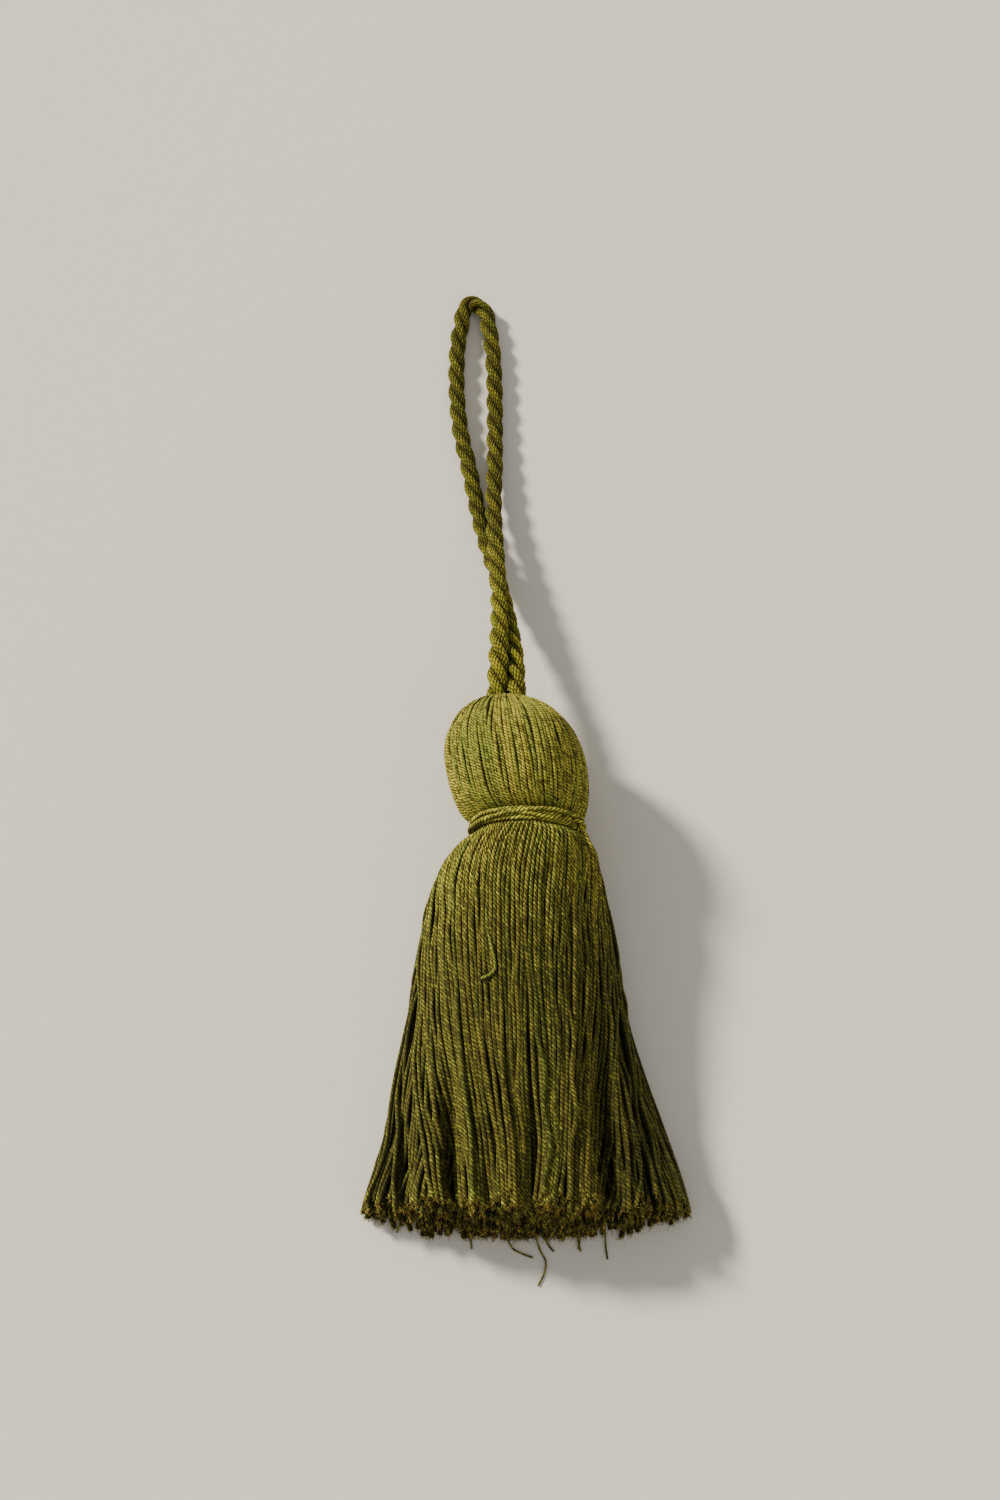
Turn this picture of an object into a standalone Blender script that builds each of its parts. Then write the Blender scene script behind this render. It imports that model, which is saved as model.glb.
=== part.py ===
"""A yarn tassel with a twisted hanging loop, lying on its side on a flat surface.

The loop points to +Y, the cut ends of the skirt to -Y, and +Z is up from the surface at z = 0.
The origin is on that surface, under the middle of the head and skirt. Three pieces:

  tassel_yarn    the yarn folded over at the top into a ball-shaped head, drawn in at the neck, and
                 spreading below it into a skirt of separate locks that settles flat on the surface
  neck_binding   four turns of the same yarn wound round the neck, with their knot
  hanging_loop   a three-ply twisted cord, out of the head's crown and back into it

All sizes are in millimetres and are turned into metres when a mesh is made.
"""

import math
from collections import namedtuple

import bmesh
import bpy
import numpy as np
from mathutils import Vector

MM = 0.001

# The yarn and what is counted in yarns
YARN = 1.05
BINDING_TURNS = 4
BINDING_STEPS = 36
BINDING_SLANT = math.radians(-1.5)
TURN_CORNERS = [math.radians(angle) for angle in (58.0, 0.0, -58.0)]
KNOT_RADIUS = 1.25
KNOT_ANGLE = math.radians(28.0)
CORD_DIAMETER = 4.25
CORD_LAY = 17.0

# The head: a ridged ball with a small flat spot where it lies
HEAD_RIDGES = 28
RIDGE_DEPTH = 0.55
RIDGE_UNEVEN = 0.3
RIDGE_PHASE = 2.3
NECK_RADIUS = 13.0
NECK_Y = 31.5
NECK_Z = 16.4

# The skirt: locks with a diamond section, side by side as bricks are
LOCK_HALF_WIDTH = 0.060
LOCK_HALF_HEIGHT = 0.124
LOCK_FILL = 0.85
HEM_Y_MIDDLE = -65.2
HEM_LIFT_AT_CORNERS = 5.6
HEM_LIFT_AT_TOP = 5.0
HEM_UNEVEN = 0.8
HEM_PHASE = 12.99

# Between pieces that touch on the real thing
CLEARANCE = 0.35

# Rings of the head, from the crown to the end of the plug that the locks grow out of: where the ring
# is along the tassel, its middle, and its radius across and upwards
Ring = namedtuple("Ring", "y x z across upwards")
HEAD_RINGS = [
    Ring(64.9, -5.1, 17.0, 4.6, 4.6),
    Ring(63.9, -5.0, 17.0, 7.2, 7.2),
    Ring(62.3, -4.7, 17.0, 9.9, 9.9),
    Ring(60.2, -4.4, 17.0, 12.5, 12.5),
    Ring(57.6, -4.0, 17.0, 14.7, 14.7),
    Ring(54.5, -3.6, 17.0, 16.3, 16.3),
    Ring(51.0, -3.1, 17.0, 17.2, 17.2),
    Ring(47.0, -2.5, 17.0, 17.5, 17.5),
    Ring(43.0, -1.9, 17.0, 17.3, 17.3),
    Ring(39.5, -1.4, 16.9, 16.7, 16.6),
    Ring(36.6, -0.9, 16.7, 15.8, 15.6),
    Ring(34.9, -0.3, 16.5, 14.6, 14.5),
    Ring(34.0, 0.0, NECK_Z, NECK_RADIUS, NECK_RADIUS),
    Ring(29.0, 0.0, NECK_Z, NECK_RADIUS, NECK_RADIUS),
    Ring(26.8, -0.2, 16.2, 14.2, 13.4),
]
HEAD_RADIUS = max(ring.across for ring in HEAD_RINGS)
CROWN_DIMPLE_Y = 64.7
RIDGED_RINGS = range(0, 12)

# Sections of the skirt, from inside the plug to the hem: its left and right side, its lowest and
# highest yarn, and how flat its underside is, from 0, round, to 1, level on the surface
Section = namedtuple("Section", "y left right low high flat")
SKIRT_SECTIONS = [
    Section(29.5, -12.7, 12.7, 3.9, 28.9, 0.0),
    Section(26.0, -18.6, 17.6, 0.9, 31.2, 0.1),
    Section(18.0, -24.6, 20.2, 0.0, 30.8, 0.35),
    Section(-16.0, -31.2, 26.8, 0.0, 26.5, 1.0),
    Section(-66.0, -42.6, 42.6, 0.0, 21.0, 1.0),
]

# Gaps between locks: their place across the skirt from -1 to 1, how far they open at the hem, and
# where along the tassel they start
Gap = namedtuple("Gap", "place opening start")
SKIRT_GAPS = [
    Gap(-0.78, 1.4, -10.0),
    Gap(-0.39, 2.0, -8.0),
    Gap(0.02, 1.6, -22.0),
    Gap(0.39, 1.2, -30.0),
    Gap(0.67, 2.2, 6.0),
]

# The cord's middle line: out of the crown on the right-hand leg, round the bight and back on the left-hand
# leg, which lies under the other where they cross
Point = namedtuple("Point", "x y z")
CORD_ROUTE = [
    Point(-7.35, 65.25, 17.4),
    Point(-7.3, 68.6, 17.4),
    Point(-7.0, 76.5, 16.5),
    Point(-6.9, 85.4, 14.8),
    Point(-6.9, 94.4, 12.5),
    Point(-7.3, 103.6, 10.0),
    Point(-7.7, 110.8, 8.1),
    Point(-8.1, 117.5, 6.6),
    Point(-8.3, 126.8, 4.8),
    Point(-8.0, 136.0, 3.6),
    Point(-8.0, 145.3, 2.9),
    Point(-8.0, 154.5, 2.5),
    Point(-8.2, 163.7, 2.35),
    Point(-8.8, 172.6, 2.35),
    Point(-9.7, 178.2, 2.35),
    Point(-10.2, 181.2, 2.35),
    Point(-11.6, 183.9, 2.35),
    Point(-13.9, 185.1, 2.35),
    Point(-15.9, 183.9, 2.35),
    Point(-16.6, 181.4, 2.35),
    Point(-17.0, 178.4, 2.35),
    Point(-17.9, 172.7, 2.35),
    Point(-18.2, 163.8, 2.35),
    Point(-17.9, 154.9, 2.35),
    Point(-16.9, 146.1, 2.35),
    Point(-15.0, 137.3, 2.35),
    Point(-13.3, 128.5, 2.35),
    Point(-11.5, 119.6, 2.6),
    Point(-9.8, 113.0, 3.2),
    Point(-7.6, 105.0, 4.8),
    Point(-5.6, 96.0, 7.4),
    Point(-4.0, 87.0, 10.6),
    Point(-3.1, 77.6, 13.8),
    Point(-2.8, 69.4, 16.2),
    Point(-2.75, 65.25, 16.8),
]

# The cord's section: three plies, each two points wide, with the groove between it and the next
PLIES = 3
PLY_HALF_ANGLE = math.radians(26.0)
GROOVE_RADIUS = 1.5
STEPS_PER_LAY = 9.0
FINE_STEPS = 24

YARN_COLOR = (0.14, 0.145, 0.016)


def clear_scene():
    for obj in list(bpy.data.objects):
        bpy.data.objects.remove(obj, do_unlink=True)


def collection_named(name):
    made = bpy.data.collections.new(name)
    bpy.context.scene.collection.children.link(made)
    return made


def yarn_material(name, shade):
    """The yarn's own colour, a little lighter or darker, dull as cotton is."""
    material = bpy.data.materials.new(name)
    material.use_nodes = True
    shader = material.node_tree.nodes["Principled BSDF"]
    shader.inputs["Base Color"].default_value = (*[shade * c for c in YARN_COLOR], 1.0)
    shader.inputs["Roughness"].default_value = 0.85
    shader.inputs["Metallic"].default_value = 0.0
    return material


def object_from(bm, name, home, material):
    """The bmesh, built in millimetres, as an object in metres."""
    bmesh.ops.scale(bm, vec=(MM, MM, MM), verts=bm.verts)
    mesh = bpy.data.meshes.new(name)
    bm.to_mesh(mesh)
    bm.free()
    mesh.materials.append(material)
    made = bpy.data.objects.new(name, mesh)
    home.objects.link(made)
    return made


def head_mesh():
    """A sphere whose rings are moved to the head's: every second meridian is a groove between two ridges."""
    bm = bmesh.new()
    sides = 2 * HEAD_RIDGES
    steps = len(HEAD_RINGS) + 1
    bmesh.ops.create_uvsphere(bm, u_segments=sides, v_segments=steps, radius=1.0)
    for vert in bm.verts:
        ring_number = round(math.acos(max(-1.0, min(1.0, vert.co.z))) / math.pi * steps) - 1
        if ring_number < 0:
            top = HEAD_RINGS[0]
            vert.co = (top.x, CROWN_DIMPLE_Y, top.z)
        elif ring_number == len(HEAD_RINGS):
            end = HEAD_RINGS[-1]
            vert.co = (end.x, end.y, end.z)
        else:
            ring = HEAD_RINGS[ring_number]
            angle = math.atan2(vert.co.y, vert.co.x)
            meridian = round(angle / math.tau * sides) % sides
            groove = 0.0
            if ring_number in RIDGED_RINGS and meridian % 2:
                uneven = 1.0 - RIDGE_UNEVEN * (1.0 - math.sin(RIDGE_PHASE * meridian))
                groove = RIDGE_DEPTH * uneven * ring.across / HEAD_RADIUS
            x = ring.x + (ring.across - groove) * math.cos(angle)
            z = ring.z - (ring.upwards - groove) * math.sin(angle)
            vert.co = (x, ring.y, max(0.0, z))
    return bm


def lock_places():
    """Places of the locks in the neck's round section, as (across, up from the underside), both in radii.

    Diamonds in rows, every second row moved by half a width, fill it evenly. Those of the lowest row are
    cut in half, so that their flat side is the skirt's underside.
    """
    half_width = LOCK_HALF_WIDTH * LOCK_FILL
    half_height = LOCK_HALF_HEIGHT * LOCK_FILL
    places = []
    for row in range(int(2.0 / LOCK_HALF_HEIGHT) + 1):
        for column in range(-int(1.0 / LOCK_HALF_WIDTH), int(1.0 / LOCK_HALF_WIDTH) + 1):
            if (row + column) % 2:
                continue
            across = column * LOCK_HALF_WIDTH
            up = row * LOCK_HALF_HEIGHT
            outer = abs(across) + half_width
            if outer > 1.0:
                continue
            tallest_middle = 2.0 * math.sqrt(1.0 - across**2)
            tallest_outer = 2.0 * math.sqrt(1.0 - outer**2)
            if up + half_height <= tallest_middle and up <= tallest_outer:
                places.append((across, up))
    return places


def section_at(y):
    """The skirt's section at y, on straight lines between the table's rows."""
    rows = np.array(SKIRT_SECTIONS)[::-1]
    return Section(y, *[float(np.interp(y, rows[:, 0], rows[:, i])) for i in range(1, 6)])


def gap_shift(across, y):
    """How far the gaps on either side push a lock sideways, and how much width they take up in all."""
    shift = 0.0
    taken = 0.0
    for gap in SKIRT_GAPS:
        opened = gap.opening * max(0.0, (gap.start - y) / (gap.start - HEM_Y_MIDDLE))
        shift += math.copysign(0.5 * opened, across - gap.place)
        taken += opened
    return shift, taken


def skirt_point(across, up, y, middle_across):
    """The point at this place of the neck's section, followed down the skirt to y.

    Across, the section is stretched between its left and right side. Upwards, the underside's arc is
    flattened as far as the section says, and the height above it keeps its proportion.
    """
    section = section_at(y)
    shift, taken = gap_shift(middle_across, y)
    half_width = 0.5 * (section.right - section.left - taken)
    middle = 0.5 * (section.right + section.left)
    half_height = 0.5 * (section.high - section.low)
    arc = 1.0 - math.sqrt(max(0.0, 1.0 - across**2))
    return Vector(
        (
            middle + half_width * across + shift,
            y,
            section.low + half_height * (up + (1.0 - section.flat) * arc),
        )
    )


def hem_y(across, up, number):
    """Where a lock is cut: every lock is as long as the next, so the top and the corners reach less far."""
    lift = HEM_LIFT_AT_CORNERS * across**2
    lift += HEM_LIFT_AT_TOP * 0.5 * up
    lift += HEM_UNEVEN * math.sin(HEM_PHASE * number)
    return HEM_Y_MIDDLE + min(lift, HEM_LIFT_AT_CORNERS + HEM_UNEVEN)


def add_lock(bm, across, up, number):
    """One lock: a diamond, or the upper half of one in the lowest row, carried down the skirt."""
    half_width = LOCK_HALF_WIDTH * LOCK_FILL
    half_height = LOCK_HALF_HEIGHT * LOCK_FILL
    corners = [(across - half_width, up), (across + half_width, up), (across, up + half_height)]
    if up > 0.0:
        corners.insert(1, (across, up - half_height))
    stations = [section.y for section in SKIRT_SECTIONS[:-1]] + [hem_y(across, up, number)]
    rings = [[bm.verts.new(skirt_point(*corner, y, across)) for corner in corners] for y in stations]
    for ring, following in zip(rings, rings[1:]):
        for i in range(len(corners)):
            j = (i + 1) % len(corners)
            bm.faces.new((ring[i], ring[j], following[j], following[i]))
    bm.faces.new(rings[0][::-1])
    bm.faces.new(rings[-1])


def make_tassel_yarn(home, helpers, material):
    """The head and neck with every lock joined to them by its root."""
    tassel = object_from(head_mesh(), "tassel_yarn", home, material)
    bm = bmesh.new()
    for number, (across, up) in enumerate(lock_places()):
        add_lock(bm, across, up, number)
    bmesh.ops.recalc_face_normals(bm, faces=bm.faces)
    locks = object_from(bm, "skirt_locks", helpers, material)
    locks.hide_render = True
    locks.display_type = "WIRE"
    union = tassel.modifiers.new("join_locks", "BOOLEAN")
    union.operation = "UNION"
    union.object = locks
    return tassel


def make_neck_binding(home, helpers, material):
    """Turns of yarn side by side, turned round the neck and slanted a little, with a knot on the right."""
    inner = NECK_RADIUS + CLEARANCE
    half = 0.5 * YARN
    length = BINDING_TURNS * YARN
    outline = [(inner, -0.5 * length), (inner, 0.5 * length)]
    for turn in range(BINDING_TURNS):
        middle = 0.5 * length - (turn + 0.5) * YARN
        for angle in TURN_CORNERS:
            outline.append((inner + half + half * math.cos(angle), middle + half * math.sin(angle)))
    bm = bmesh.new()
    verts = [bm.verts.new((radius, 0.0, along)) for radius, along in outline]
    for i in range(len(verts)):
        bm.edges.new((verts[i], verts[(i + 1) % len(verts)]))
    binding = object_from(bm, "neck_binding", home, material)
    binding.rotation_euler = (math.radians(-90.0), 0.0, BINDING_SLANT)
    binding.location = (0.0, NECK_Y * MM, NECK_Z * MM)
    turned = binding.modifiers.new("turned", "SCREW")
    turned.steps = BINDING_STEPS
    turned.render_steps = BINDING_STEPS
    turned.use_merge_vertices = True
    turned.merge_threshold = 0.00001
    turned.use_normal_calculate = True

    bm = bmesh.new()
    bmesh.ops.create_icosphere(bm, subdivisions=2, radius=KNOT_RADIUS)
    knot = object_from(bm, "knot", helpers, material)
    reach = NECK_RADIUS + CLEARANCE + YARN
    knot_place = (reach * math.cos(KNOT_ANGLE), NECK_Y - YARN, NECK_Z + reach * math.sin(KNOT_ANGLE))
    knot.location = Vector(knot_place) * MM
    knot.hide_render = True
    knot.display_type = "WIRE"
    tied = binding.modifiers.new("tied", "BOOLEAN")
    tied.operation = "UNION"
    tied.object = knot
    return binding


def smooth_route():
    """The cord's middle line on a smooth curve through its route's points, at even steps."""
    knots = np.array(CORD_ROUTE)
    fine = []
    for i in range(len(knots) - 1):
        before = knots[max(i - 1, 0)]
        after = knots[min(i + 2, len(knots) - 1)]
        start, end = knots[i], knots[i + 1]
        t = np.linspace(0.0, 1.0, FINE_STEPS, endpoint=False)[:, None]
        fine.append(
            0.5
            * (
                2.0 * start
                + (end - before) * t
                + (2.0 * before - 5.0 * start + 4.0 * end - after) * t**2
                + (3.0 * start - before - 3.0 * end + after) * t**3
            )
        )
    fine = np.vstack(fine + [knots[-1:]])
    along = np.concatenate([[0.0], np.cumsum(np.linalg.norm(np.diff(fine, axis=0), axis=1))])
    count = round(along[-1] / CORD_LAY * STEPS_PER_LAY) + 1
    places = np.linspace(0.0, along[-1], count)
    return np.column_stack([np.interp(places, along, fine[:, i]) for i in range(3)]), along[-1]


def poly_curve(name, points, cyclic):
    """A curve object's data with one POLY spline through the points, given in millimetres."""
    curve = bpy.data.curves.new(name, "CURVE")
    curve.dimensions = "3D"
    spline = curve.splines.new("POLY")
    spline.points.add(len(points) - 1)
    spline.points.foreach_set("co", np.column_stack([points * MM, np.ones(len(points))]).ravel())
    spline.use_cyclic_u = cyclic
    return curve


def make_hanging_loop(home, helpers, material):
    """A section of three plies, carried along the route and turned once in each lay."""
    radius = 0.5 * CORD_DIAMETER
    outline = []
    for ply in range(PLIES):
        middle = math.tau * ply / PLIES
        for angle, reach in (
            (middle - PLY_HALF_ANGLE, radius),
            (middle + PLY_HALF_ANGLE, radius),
            (middle + math.pi / PLIES, GROOVE_RADIUS),
        ):
            outline.append((reach * math.cos(angle), reach * math.sin(angle), 0.0))
    section_curve = poly_curve("cord_section", np.array(outline[::-1]), True)
    section = bpy.data.objects.new("cord_section", section_curve)
    helpers.objects.link(section)
    section.hide_render = True
    section.display_type = "WIRE"

    points, length = smooth_route()
    curve = poly_curve("hanging_loop", points, False)
    curve.bevel_mode = "OBJECT"
    curve.bevel_object = section
    curve.use_fill_caps = True
    curve.twist_mode = "MINIMUM"
    twist = np.linspace(0.0, math.tau * length / CORD_LAY, len(points))
    curve.splines[0].points.foreach_set("tilt", twist)
    curve.materials.append(material)
    loop = bpy.data.objects.new("hanging_loop", curve)
    home.objects.link(loop)
    return loop


def main():
    clear_scene()
    home = collection_named("tassel")
    helpers = collection_named("helpers")
    make_tassel_yarn(home, helpers, yarn_material("skirt_yarn", 1.0))
    make_neck_binding(home, helpers, yarn_material("binding_yarn", 1.0))
    make_hanging_loop(home, helpers, yarn_material("cord_yarn", 0.75))
    print("locks:", len(lock_places()))


main()
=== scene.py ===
# %% [markdown]
# # A yarn tassel with a twisted hanging loop
#
# A tassel like this is made of one thing only: plied yarn. Hundreds of lengths are folded over a
# cord, tied off under the fold so that a ball-shaped head stands above the tie, and cut level at
# the bottom. A smooth body with a pattern of yarn on it would be light work, but its edges and
# its shadow would stay smooth, and that is where the eye looks for yarn. So this lesson builds it
# the way it is made: every yarn that shows is a round strand along a line of its own, and the
# numpy code below works out all the lines of a bundle at once.
#
# The first cell loads the plain solids of the tassel. They give the place and the size of
# everything: +Y runs along the tassel towards the loop, +X across it, and the surface that it lies
# on is z = 0.

import math

import bpy
import numpy as np
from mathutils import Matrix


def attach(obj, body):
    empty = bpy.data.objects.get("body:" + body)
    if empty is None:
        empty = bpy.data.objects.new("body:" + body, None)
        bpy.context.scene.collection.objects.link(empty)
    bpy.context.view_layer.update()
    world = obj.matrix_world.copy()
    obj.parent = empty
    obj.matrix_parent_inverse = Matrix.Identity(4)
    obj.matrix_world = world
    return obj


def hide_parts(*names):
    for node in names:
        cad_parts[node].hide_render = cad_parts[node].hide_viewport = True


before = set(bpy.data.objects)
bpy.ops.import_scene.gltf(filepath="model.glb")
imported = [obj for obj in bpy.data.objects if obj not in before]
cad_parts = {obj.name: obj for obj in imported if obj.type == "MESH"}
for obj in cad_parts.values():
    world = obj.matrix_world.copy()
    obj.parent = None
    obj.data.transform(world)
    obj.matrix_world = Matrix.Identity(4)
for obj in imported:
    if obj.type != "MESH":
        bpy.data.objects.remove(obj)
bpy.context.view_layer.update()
MM = 0.001
print("solids to dress:", sorted(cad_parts))

# %% [markdown]
# ## The camera
#
# The tassel is seen from above and a little from its skirt's side, 70 degrees up, with a long
# lens. The image is upright, so the sensor is fitted by its height.

# %% Camera
CAMERA_AIM = np.array([-0.0066, 0.0548, 0.0100])
CAMERA_DISTANCE = 0.700
CAMERA_ELEVATION = math.radians(70.0)

camera_data = bpy.data.cameras.new("camera")
camera_data.sensor_fit = "VERTICAL"
camera_data.sensor_height = 36.0
camera_data.lens = 67.2
camera = bpy.data.objects.new("camera", camera_data)
view_way = np.array([0.0, math.cos(CAMERA_ELEVATION), -math.sin(CAMERA_ELEVATION)])
camera.location = CAMERA_AIM - CAMERA_DISTANCE * view_way
camera.rotation_euler = (math.pi / 2 - CAMERA_ELEVATION, 0.0, 0.0)
bpy.context.scene.collection.objects.link(camera)
bpy.context.scene.camera = camera
print("camera at", [round(c, 3) for c in camera.location])

# %% [markdown]
# ## Smooth lines
#
# A strand needs a line to follow. A few knots are enough to say where it goes, and a cubic through
# them makes it smooth: real yarn has no corners. The same function takes one line or a whole
# bundle, because numpy carries the extra axes along.
#
# Much of a tassel changes gently from one place to another: it grows thicker, darker or looser
# between two heights. `ramp` says each such change by the two places where it starts and ends.


# %% Lines through knots
def smooth_line(knots, steps):
    """A smooth line through the knots, whose first axis counts them.

    Between two knots it is the cubic that leaves and reaches each knot with half the step between
    that knot's neighbours, read at `steps` places.
    """
    knots = np.asarray(knots, float)
    start, end = knots[:-1, None], knots[1:, None]
    before = np.concatenate([knots[:1], knots[:-2]])[:, None]
    after = np.concatenate([knots[2:], knots[-1:]])[:, None]
    t = (np.arange(steps) / steps).reshape((1, steps) + (1,) * (knots.ndim - 1))
    line = 0.5 * (
        2 * start
        + (end - before) * t
        + (2 * before - 5 * start + 4 * end - after) * t**2
        + (3 * start - before - 3 * end + after) * t**3
    )
    return np.concatenate([line.reshape((-1,) + knots.shape[1:]), knots[-1:]])


def lengths_along(lines):
    """How far along its line each point lies, for lines of shape (line, point, 3)."""
    steps = np.linalg.norm(np.diff(lines, axis=1), axis=2)
    return np.concatenate([np.zeros((len(lines), 1)), np.cumsum(steps, axis=1)], axis=1)


def even_steps(line, count):
    """`count` points at even distances along one line, and the line's length."""
    along = lengths_along(line[None])[0]
    places = np.linspace(0.0, along[-1], count)
    return np.stack([np.interp(places, along, column) for column in line.T], axis=1), along[-1]


def ramp(x, start, end):
    """0 up to `start`, 1 past `end`, and 3t^2 - 2t^3 for the share t of the way between them.

    `end` may be the lower of the two: then it grows downwards.
    """
    t = np.clip((x - start) / (end - start), 0.0, 1.0)
    return t * t * (3.0 - 2.0 * t)


# %% [markdown]
# ## Strands
#
# A strand is a circle carried along its line. At each point of the line the way it runs and one
# fixed direction give the circle's plane, so thousands of circles come from a few array
# expressions. The UV map is made for yarn: U is the length along the strand in millimetres, and V
# is the strand's number plus how far round it the point lies. A finish can then tell the strands
# apart and wind a twist on each. One more value, `tone`, makes parts of a strand lighter or darker.


# %% Directions along a line
def unit(vectors):
    """The vectors, each brought to length 1."""
    return vectors / np.maximum(np.linalg.norm(vectors, axis=-1, keepdims=True), 1e-9)


def directions(lines, side_way):
    """The way each line runs, the part of side_way square to it, and the way square to both."""
    run = unit(np.gradient(lines, axis=1))
    out = np.broadcast_to(side_way, lines.shape)
    out = unit(out - (out * run).sum(axis=-1, keepdims=True) * run)
    return run, out, np.cross(run, out)


# %% Faces of the strands and their places on the UV map
SEAM = 0.01


def strand_faces(count, rings, sides):
    """Corners of the skin's quads, ring by ring, and of the triangles that close the two ends."""
    here = np.arange(count * rings * sides).reshape(count, rings, sides)
    next_side = np.roll(here, -1, axis=2)
    quads = np.stack([here[:, :-1], next_side[:, :-1], next_side[:, 1:], here[:, 1:]], axis=-1)
    poles = here.size + np.arange(2 * count).reshape(2, count, 1)
    poles = np.broadcast_to(poles, (2, count, sides))
    first = np.stack([poles[0], next_side[:, 0], here[:, 0]], axis=-1)
    last = np.stack([poles[1], here[:, -1], next_side[:, -1]], axis=-1)
    return quads, np.stack([first, last])


def corner_pairs(u, v):
    """One (u, v) for each corner of each face."""
    return np.stack(np.broadcast_arrays(u, v), axis=-1).reshape(-1, 2)


def strand_uv(along, sides, number):
    """The (u, v) of the quads' corners and of the end triangles' corners.

    V is the strand's number plus the part of a turn, squeezed to stay SEAM away from whole
    numbers, so that no corner falls to the next strand.
    """
    low = np.arange(sides) / sides
    middle, high = low + 0.5 / sides, low + 1.0 / sides
    numbers = number + np.arange(len(along))[:, None, None]
    squeeze = 1.0 - 2.0 * SEAM
    quad_u = np.stack([along[:, :-1], along[:, :-1], along[:, 1:], along[:, 1:]], axis=-1)
    quad_v = numbers[..., None] + SEAM + squeeze * np.stack([low, high, high, low], axis=-1)
    cap_u = along[:, [0, -1]].T[..., None, None]
    cap_turns = [np.stack(order, axis=-1) for order in ((middle, high, low), (middle, low, high))]
    cap_v = numbers + SEAM + squeeze * np.stack(cap_turns)[:, None]
    return corner_pairs(quad_u[:, :, None], quad_v), corner_pairs(cap_u, cap_v)


# %% Strands along many lines
def strands(lines, radii, sides, side_way=(0.0, 0.0, 1.0), number=0, tone=1.0, blunt=0.35):
    """Closed round strands along lines of shape (strand, ring, 3), in millimetres.

    A point of the skin is line + radius (cos a out + sin a across), for `sides` angles a. Each end
    closes on one point, `blunt` radii beyond its last ring.
    """
    lines = np.asarray(lines, float)
    count, rings = lines.shape[:2]
    radii = np.broadcast_to(radii, (count, rings))
    tone = np.broadcast_to(tone, (count, rings))
    run, out, across = directions(lines, side_way)
    angle = (math.tau * np.arange(sides) / sides)[:, None]
    skin = np.cos(angle) * out[:, :, None] + np.sin(angle) * across[:, :, None]
    skin = lines[:, :, None] + radii[:, :, None, None] * skin
    beyond = blunt * radii[:, [0, -1], None] * run[:, [0, -1]] * [[-1.0], [1.0]]
    ends = lines[:, [0, -1]] + beyond
    quads, caps = strand_faces(count, rings, sides)
    quad_uv, cap_uv = strand_uv(lengths_along(lines), sides, number)
    return {
        "points": np.concatenate([skin.reshape(-1, 3), ends.transpose(1, 0, 2).reshape(-1, 3)]),
        "quads": quads.reshape(-1, 4),
        "caps": caps.reshape(-1, 3),
        "quad_uv": quad_uv,
        "cap_uv": cap_uv,
        "tone": np.concatenate([np.repeat(tone, sides), tone[:, [0, -1]].T.ravel()]),
    }


# %% [markdown]
# ## From arrays to a piece
#
# Blender fills a mesh fastest from flat arrays with `foreach_set`: the points, then the corners of
# all faces one after another, then where each face starts. The points go from millimetres to
# metres here, and the object itself stays at the origin. A point without a place, from a division
# by zero somewhere above, would go unnoticed, so the function stops on one.


# %% Make a piece from strands
def make_piece(name, parts, replaced=()):
    """Joins parts made by `strands` into one mesh object that belongs to the tassel."""
    first = np.cumsum([0] + [len(part["points"]) for part in parts[:-1]])
    quads = np.concatenate([part["quads"] + shift for part, shift in zip(parts, first)])
    caps = np.concatenate([part["caps"] + shift for part, shift in zip(parts, first)])
    points = np.concatenate([part["points"] for part in parts]) * MM
    assert np.isfinite(points).all(), name + " has a point without a place"
    uv = np.concatenate([part["quad_uv"] for part in parts] + [part["cap_uv"] for part in parts])
    corners = np.concatenate([quads.ravel(), caps.ravel()])
    starts = np.concatenate([4 * np.arange(len(quads)), quads.size + 3 * np.arange(len(caps))])

    mesh = bpy.data.meshes.new(name)
    mesh.vertices.add(len(points))
    mesh.vertices.foreach_set("co", points.ravel())
    mesh.loops.add(len(corners))
    mesh.loops.foreach_set("vertex_index", corners.astype(np.int32))
    mesh.polygons.add(len(starts))
    mesh.polygons.foreach_set("loop_start", starts.astype(np.int32))
    mesh.update(calc_edges=True)
    mesh.uv_layers.new(name="strand").uv.foreach_set("vector", uv.ravel())
    tone = mesh.attributes.new("tone", "FLOAT", "POINT")
    tone.data.foreach_set("value", np.concatenate([part["tone"] for part in parts]))
    mesh.shade_smooth()

    piece = bpy.data.objects.new(name, mesh)
    bpy.context.scene.collection.objects.link(piece)
    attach(piece, "root")
    if replaced:
        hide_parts(*replaced)
    print(f"{name}: {2 * len(quads) + len(caps)} triangles")
    return piece


# %% [markdown]
# ## The hanging loop
#
# The loop is a rope: fine yarns are laid together into three plies, and the plies are laid round
# each other the other way. That is why it holds together, and why the yarns on its surface run
# nearly along it while the plies go round it. It leaves the crown of the head, makes a narrow
# bight and comes back.
#
# A strand for each ply, with its yarns as relief in the finish, would be simpler, but up close the
# notched edge of a rope comes from its yarns. Each yarn's line is a sum of three parts: the middle
# line of the rope, a circle for its ply's place in the rope, and a smaller circle, turning faster
# and the other way, for the yarn's place in its ply. Near the crown the plies open a little, so
# the rope is looser there.

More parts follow.
